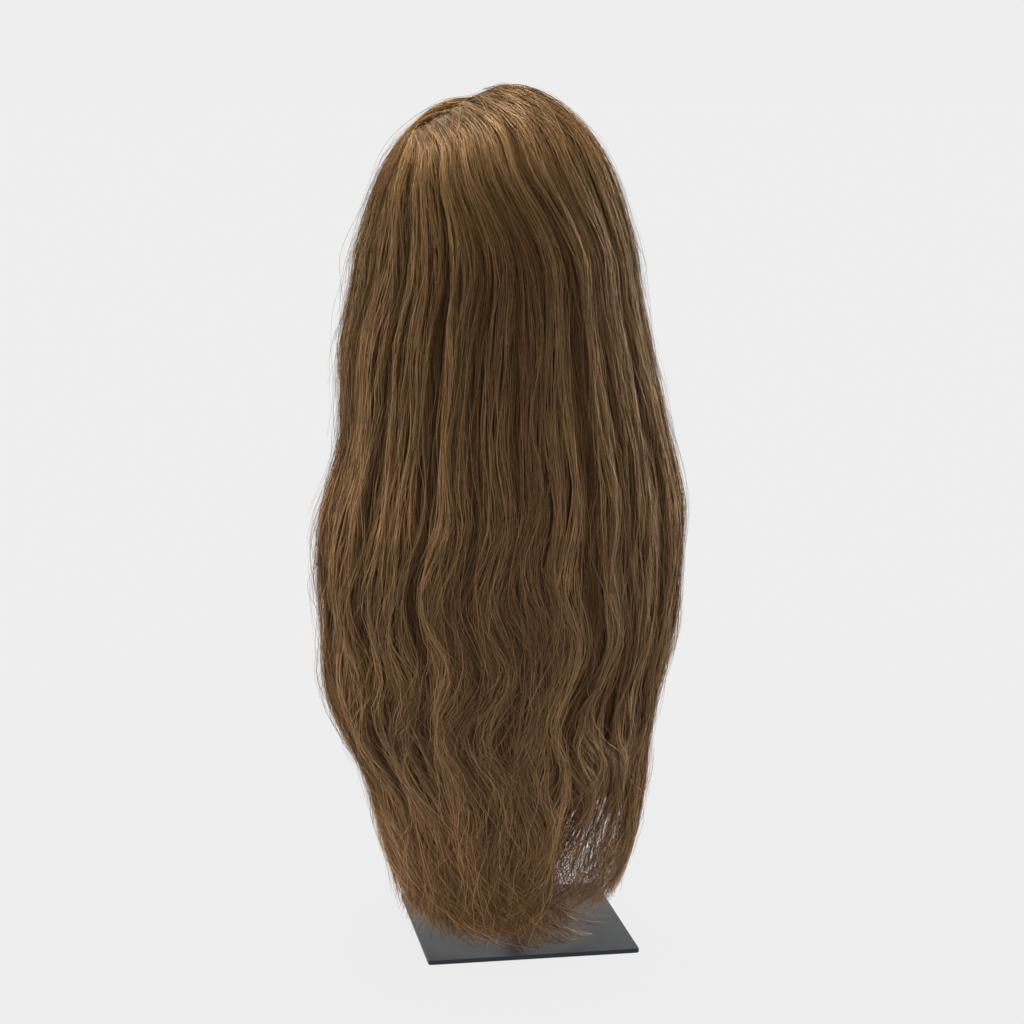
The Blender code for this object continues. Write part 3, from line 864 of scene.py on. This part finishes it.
def rim_arrays():
    """The cord that edges the net."""
    turn = np.linspace(-180, 180, RIM_STEPS, endpoint=False)
    middle = cap_points(turn, rim_down(turn), CAP_WALL / 2)
    along = np.roll(middle, -1, 0) - np.roll(middle, 1, 0)
    along /= np.linalg.norm(along, axis=-1, keepdims=True)
    out = middle - CAP_CENTRE
    side = np.cross(along, out)
    side /= np.linalg.norm(side, axis=-1, keepdims=True)
    out = np.cross(side, along)
    angle = np.linspace(0, 2 * np.pi, RIM_SIDES, endpoint=False)[None, :, None]
    rings = middle[:, None] + RIM_CORD * (np.cos(angle) * out[:, None] + np.sin(angle) * side[:, None])
    index = np.arange(RIM_STEPS * RIM_SIDES).reshape(RIM_STEPS, RIM_SIDES)
    next_ring = np.roll(index, -1, 0)
    faces = np.stack([index, next_ring, np.roll(next_ring, -1, 1), np.roll(index, -1, 1)], -1)
    return rings.reshape(-1, 3), faces.reshape(-1, 4)


def lace_net(material):
    net, net_faces = net_arrays()
    rim, rim_faces = rim_arrays()
    points = np.concatenate([net, rim])
    faces = np.concatenate([net_faces, rim_faces + len(net)])
    flat = (points - CAP_CENTRE)[:, :2] * NET_UV_SCALE + 0.5
    piece = add_mesh("lace_net", points, faces, flat[faces.ravel()], material)
    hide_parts("lace_cap")
    return piece


# Materials


def new_material(name):
    material = bpy.data.materials.new(name)
    material.use_nodes = True
    return material, material.node_tree.nodes, material.node_tree.links


def set_inputs(node, **values):
    """Set some of a node's inputs; an underscore in a name stands for a space."""
    for name, value in values.items():
        node.inputs[name.replace("_", " ")].default_value = value


def add_node(nodes, kind, **values):
    """A node with some of its inputs set."""
    node = nodes.new(kind)
    set_inputs(node, **values)
    return node


def bump_from(nodes, links, height, shader, strength, distance):
    """Give a shader small relief from a height socket."""
    bump = add_node(nodes, "ShaderNodeBump", Strength=strength, Distance=distance)
    links.new(height, bump.inputs["Height"])
    links.new(bump.outputs["Normal"], shader.inputs["Normal"])


def colour_ramp(nodes, links, factor, stops):
    """The colours that a value picks from a row of places and colours."""
    ramp = nodes.new("ShaderNodeValToRGB")
    elements = ramp.color_ramp.elements
    while len(elements) < len(stops):
        elements.new(0.5)
    for element, (place, colour) in zip(elements, stops):
        element.position = place
        element.color = (*colour, 1)
    links.new(factor, ramp.inputs["Fac"])
    return ramp.outputs["Color"]


def noise_at(nodes, links, vector, scale, detail):
    noise = add_node(nodes, "ShaderNodeTexNoise", Scale=scale, Detail=detail)
    links.new(vector, noise.inputs["Vector"])
    return noise.outputs["Fac"]


def set_roughness(nodes, links, value, shader, low, high):
    """Let a shader's roughness follow a value between two limits."""
    rough = add_node(nodes, "ShaderNodeMapRange", To_Min=low, To_Max=high)
    links.new(value, rough.inputs["Value"])
    links.new(rough.outputs["Result"], shader.inputs["Roughness"])


def uv_map(nodes):
    uv = nodes.new("ShaderNodeUVMap")
    uv.uv_map = "OFBake"
    return uv.outputs["UV"]


def stretched(nodes, links, vector, x, y):
    """Coordinates stretched by x and y."""
    stretch = add_node(nodes, "ShaderNodeMapping", Scale=(x, y, 1))
    links.new(vector, stretch.inputs["Vector"])
    return stretch.outputs["Vector"]


def multiply(nodes, links, colour, factor):
    """A colour socket times another value or colour socket."""
    mix = nodes.new("ShaderNodeMix")
    mix.data_type = "RGBA"
    mix.blend_type = "MULTIPLY"
    set_inputs(mix, Factor=1.0)
    links.new(colour, mix.inputs["A"])
    links.new(factor, mix.inputs["B"])
    return mix.outputs["Result"]


# A strand's colour from dark, deep in the hair, to the lightest single hairs
HAIR_TONES = (
    (0.00, (0.010, 0.0052, 0.0026)),
    (0.30, (0.027, 0.0143, 0.0071)),
    (0.52, (0.054, 0.0292, 0.0145)),
    (0.75, (0.110, 0.0620, 0.0305)),
    (1.00, (0.260, 0.1620, 0.0800)),
)
# Down a strand: painted shade near the parting, a painted highlight band over the crown, painted shade below
# it where the hair turns down, lighter towards the ends, and redder at the very ends
LENGTH_LIGHT_AND_TINTS = (
    (0.02, (0.85, 0.80, 0.70)),
    (0.05, (1.28, 1.24, 1.05)),
    (0.10, (1.28, 1.24, 1.05)),
    (0.13, (0.98, 0.95, 0.85)),
    (0.17, (0.66, 0.65, 0.62)),
    (0.24, (0.64, 0.63, 0.66)),
    (0.34, (0.88, 0.88, 0.95)),
    (0.48, (1.10, 1.10, 1.20)),
    (0.60, (1.10, 1.11, 1.24)),
    (0.80, (1.42, 1.42, 1.58)),
    (1.00, (1.75, 1.70, 1.85)),
)
# Along and across a strand: from cool and dark through red-brown to light
STREAK_TINTS = (
    (0.30, (0.62, 0.64, 0.68)),
    (0.46, (0.92, 0.92, 0.90)),
    (0.57, (1.16, 1.04, 0.90)),
    (0.70, (1.42, 1.44, 1.42)),
)
SHINE_TINT = (1.0, 0.56, 0.20, 1)
SHEEN_TINT = (1.0, 0.60, 0.26, 1)
HAIR_ROUGHNESS = (0.32, 0.46)
# How often streaks and kinks change across the uv map and up it
STREAKS = (TONES * 2.3, 42)
KINKS = (331, 80)
UNDER_STREAKS = (90, 3.0)
# The hair under the strands, painted darker for the shade deep in the hair, and the net's thread, from dark
# to light
UNDER_SHADE_TONES = ((0.30, (0.010, 0.0052, 0.0024)), (0.72, (0.062, 0.034, 0.0155)))
NET_TONES = ((0.3, (0.115, 0.070, 0.040)), (0.7, (0.235, 0.155, 0.095)))
# Paint: colour and roughness, and how much darker, lighter, glossier and duller it gets in places
PLATE_PAINT = ((0.0268, 0.0298, 0.0345), 0.42)
POST_PAINT = ((0.018, 0.018, 0.020), 0.30)
PAINT_DARKER = 0.88
PAINT_LIGHTER = 1.10
PAINT_GLOSS = (-0.05, 0.06)


def strand_material():
    """Brown hair: the uv column gives a strand's tone, painted light and shade included, and the height adds
    change along it, painted highlight and shade included.
    """
    material, nodes, links = new_material("brown_hair")
    shader = nodes["Principled BSDF"]
    uv = uv_map(nodes)
    split = nodes.new("ShaderNodeSeparateXYZ")
    links.new(uv, split.inputs["Vector"])
    column = nodes.new("ShaderNodeMath")
    column.operation = "SNAP"
    column.inputs[1].default_value = 1 / TONES
    links.new(split.outputs["X"], column.inputs[0])
    streaks = noise_at(nodes, links, stretched(nodes, links, uv, *STREAKS), 1.0, 2.0)
    tone = colour_ramp(nodes, links, column.outputs[0], HAIR_TONES)
    vary = colour_ramp(nodes, links, streaks, STREAK_TINTS)
    fade = colour_ramp(nodes, links, split.outputs["Y"], LENGTH_LIGHT_AND_TINTS)
    shade = multiply(nodes, links, multiply(nodes, links, tone, vary), fade)
    links.new(shade, shader.inputs["Base Color"])
    # Small bends along a strand, which break its shine up
    bend = nodes.new("ShaderNodeCombineXYZ")
    links.new(column.outputs[0], bend.inputs["X"])
    links.new(split.outputs["Y"], bend.inputs["Y"])
    kinks = noise_at(nodes, links, stretched(nodes, links, bend.outputs["Vector"], *KINKS), 1.0, 1.0)
    bump_from(nodes, links, kinks, shader, 0.8, 0.0012)
    set_roughness(nodes, links, streaks, shader, *HAIR_ROUGHNESS)
    tangent = nodes.new("ShaderNodeTangent")
    tangent.direction_type = "UV_MAP"
    tangent.uv_map = "OFBake"
    links.new(tangent.outputs["Tangent"], shader.inputs["Tangent"])
    set_inputs(shader, IOR=1.50, Specular_IOR_Level=0.50, Specular_Tint=SHINE_TINT, Anisotropic=0.8)
    set_inputs(shader, Sheen_Weight=0.30, Sheen_Roughness=0.50, Sheen_Tint=SHEEN_TINT)
    return material


def sheet_material():
    """The hair under the strands: dark brown streaks that run down it, painted darker than the strands for
    the shade deep in the hair, with a fine ridge for each.
    """
    material, nodes, links = new_material("under_hair")
    shader = nodes["Principled BSDF"]
    streaks = noise_at(nodes, links, stretched(nodes, links, uv_map(nodes), *UNDER_STREAKS), 1.0, 4.0)
    links.new(colour_ramp(nodes, links, streaks, UNDER_SHADE_TONES), shader.inputs["Base Color"])
    bump_from(nodes, links, streaks, shader, 0.6, 0.001)
    set_inputs(shader, Roughness=0.55, Specular_Tint=SHINE_TINT)
    return material


def net_material():
    """Fine brown thread, a little uneven in colour."""
    material, nodes, links = new_material("lace_thread")
    shader = nodes["Principled BSDF"]
    place = nodes.new("ShaderNodeTexCoord").outputs["Object"]
    uneven = noise_at(nodes, links, place, 900.0, 2.0)
    links.new(colour_ramp(nodes, links, uneven, NET_TONES), shader.inputs["Base Color"])
    set_inputs(shader, Roughness=0.8)
    return material


def paint_material(name, colour, roughness):
    """Powder coat on steel: a fine orange peel and slightly uneven gloss."""
    material, nodes, links = new_material(name)
    shader = nodes["Principled BSDF"]
    place = nodes.new("ShaderNodeTexCoord").outputs["Object"]
    bump_from(nodes, links, noise_at(nodes, links, place, 1400.0, 3.0), shader, 0.10, 0.0002)
    set_inputs(shader, Specular_IOR_Level=0.10)
    cloud = noise_at(nodes, links, place, 26.0, 4.0)
    darker = tuple(value * PAINT_DARKER for value in colour)
    lighter = tuple(value * PAINT_LIGHTER for value in colour)
    tint = colour_ramp(nodes, links, cloud, ((0.3, darker), (0.7, lighter)))
    links.new(tint, shader.inputs["Base Color"])
    glossy, dull = PAINT_GLOSS
    set_roughness(nodes, links, cloud, shader, roughness + glossy, roughness + dull)
    return material


# Light, floor and camera

CAMERA_AZIMUTH = math.radians(-9.82)
CAMERA_ELEVATION = math.radians(9.80)
CAMERA_DISTANCE = 1.8
CAMERA_FOCAL_PIXELS = 2501.9
CAMERA_TARGET = (-0.0032, 0.3096)  # to the right of the middle, and up
IMAGE_PIXELS = 1024
SENSOR = 36
BACKDROP = 0.855
FLOOR_HALF = 60
FLOOR_GREY = (0.06, 0.06, 0.06, 1)
FLOOR_GLOW = 0.792  # brings the floor to the backdrop's brightness
DIM_SIDE = 0.92
BRIGHT_SIDE = 1.35
# Soft boxes: name, place, what they point at, size, power and colour
LIGHTS = (
    ("top", (-0.20, 0.25, 2.2), (0, 0, 0.5), (1.8, 0.5), 46, (1, 0.95, 0.85)),
    ("left", (-1.9, 0.35, 0.5), (0, 0, 0.35), (0.6, 1.6), 28, (1, 0.86, 0.68)),
    ("right", (1.8, 0.60, 0.5), (0, 0, 0.35), (0.6, 1.6), 38, (1, 0.86, 0.68)),
)


def look_at(item, target):
    item.rotation_euler = (Vector(target) - item.location).to_track_quat("-Z", "Y").to_euler()


def area_light(name, place, target, size, power, colour, lit):
    """A soft box that lights the object alone, so that the floor stays even."""
    light = bpy.data.lights.new(name, "AREA")
    light.shape = "RECTANGLE"
    light.size, light.size_y = size
    light.energy = power
    light.color = colour
    item = add_object(name, light)
    item.location = place
    item.light_linking.receiver_collection = lit
    look_at(item, target)


def studio_world():
    """A white studio: an even backdrop, and more light from beyond the hair than from the camera's side."""
    world = bpy.data.worlds.new("studio")
    bpy.context.scene.world = world
    world.use_nodes = True
    nodes, links = world.node_tree.nodes, world.node_tree.links
    background = nodes["Background"]
    set_inputs(background, Color=(1, 1, 1, 1))
    place = nodes.new("ShaderNodeTexCoord")
    facing = nodes.new("ShaderNodeVectorMath")
    facing.operation = "DOT_PRODUCT"
    facing.inputs[1].default_value = (math.sin(CAMERA_AZIMUTH), -math.cos(CAMERA_AZIMUTH), 0)
    links.new(place.outputs["Generated"], facing.inputs[0])
    strength = add_node(nodes, "ShaderNodeMapRange", From_Min=-0.6, From_Max=0.35)
    set_inputs(strength, To_Min=BRIGHT_SIDE, To_Max=DIM_SIDE)
    strength.interpolation_type = "SMOOTHSTEP"
    links.new(facing.outputs["Value"], strength.inputs["Value"])
    path = nodes.new("ShaderNodeLightPath")
    seen = nodes.new("ShaderNodeMix")
    links.new(path.outputs["Is Camera Ray"], seen.inputs["Factor"])
    links.new(strength.outputs["Result"], seen.inputs["A"])
    seen.inputs["B"].default_value = BACKDROP
    links.new(seen.outputs["Result"], background.inputs["Strength"])


def set_light(lit):
    studio_world()
    for light in LIGHTS:
        area_light(*light, lit)
    bpy.context.scene.view_settings.view_transform = "Standard"


def set_floor():
    half = FLOOR_HALF
    points = [(-half, -half, 0), (half, -half, 0), (half, half, 0), (-half, half, 0)]
    mesh = bpy.data.meshes.new("floor")
    mesh.from_pydata(points, [], [(0, 1, 2, 3)])
    floor = add_object("floor", mesh)
    material, nodes, _ = new_material("pale_floor")
    shader = nodes["Principled BSDF"]
    set_inputs(shader, Base_Color=FLOOR_GREY, Roughness=1.0, Specular_IOR_Level=0.0)
    set_inputs(shader, Emission_Color=(1, 1, 1, 1), Emission_Strength=FLOOR_GLOW)
    mesh.materials.append(material)


def set_camera():
    sideways, up = CAMERA_TARGET
    flat = math.cos(CAMERA_ELEVATION)
    right = Vector((math.cos(CAMERA_AZIMUTH), math.sin(CAMERA_AZIMUTH), 0))
    x, y = math.sin(CAMERA_AZIMUTH) * flat, -math.cos(CAMERA_AZIMUTH) * flat
    back = Vector((x, y, math.sin(CAMERA_ELEVATION)))
    target = right * sideways + Vector((0, 0, up))
    data = bpy.data.cameras.new("camera")
    data.sensor_width = SENSOR
    data.lens = CAMERA_FOCAL_PIXELS * SENSOR / IMAGE_PIXELS
    camera = add_object("camera", data)
    camera.location = target + back * CAMERA_DISTANCE
    look_at(camera, target)
    bpy.context.scene.camera = camera


def dress_hair():
    """Every piece of the hair: strands, inner strands, the hair under them, the inside and the flyaways."""
    hair = strand_material()
    under = sheet_material()
    edges = lock_edges()
    bodies = [row[0] for row in LOCKS]
    wisps = make_wisps()
    pieces = []
    for body, names in PIECES.items():
        numbers = [i for i, name in enumerate(bodies) if name == body]
        start, end = edges[numbers[0]], edges[numbers[-1] + 1]
        cuts = np.linspace(start, end, len(names) + 1)
        for name, low, high in zip(names, cuts[:-1], cuts[1:]):
            chosen = np.flatnonzero((wisps["at"] >= low) & (wisps["at"] < high))
            strands = wisp_strands(wisps, chosen)
            pieces.append(strand_piece(name + "_strands", strands, hair, body))
        pieces.append(strand_piece(body + "_lining", lining_strands(start, end), hair))
        pieces.append(hair_sheet(body + "_under", start, end, False, under))
        pieces.append(hair_sheet(body + "_inside", start, end, True, under))
    pieces.append(strand_piece("flyaway_hairs", flyaway_strands(), hair))
    return pieces


def main():
    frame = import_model()
    set_camera()
    set_floor()
    lit = bpy.data.collections.new("lit")
    plate = paint_material("plate_paint", *PLATE_PAINT)
    post = paint_material("post_paint", *POST_PAINT)
    for node, material in (("base_plate", plate), ("post", post)):
        frame["nodes"][node].data.materials.clear()
        frame["nodes"][node].data.materials.append(material)
        lit.objects.link(frame["nodes"][node])
    for piece in (*dress_hair(), lace_net(net_material())):
        lit.objects.link(piece)
    set_light(lit)


main()
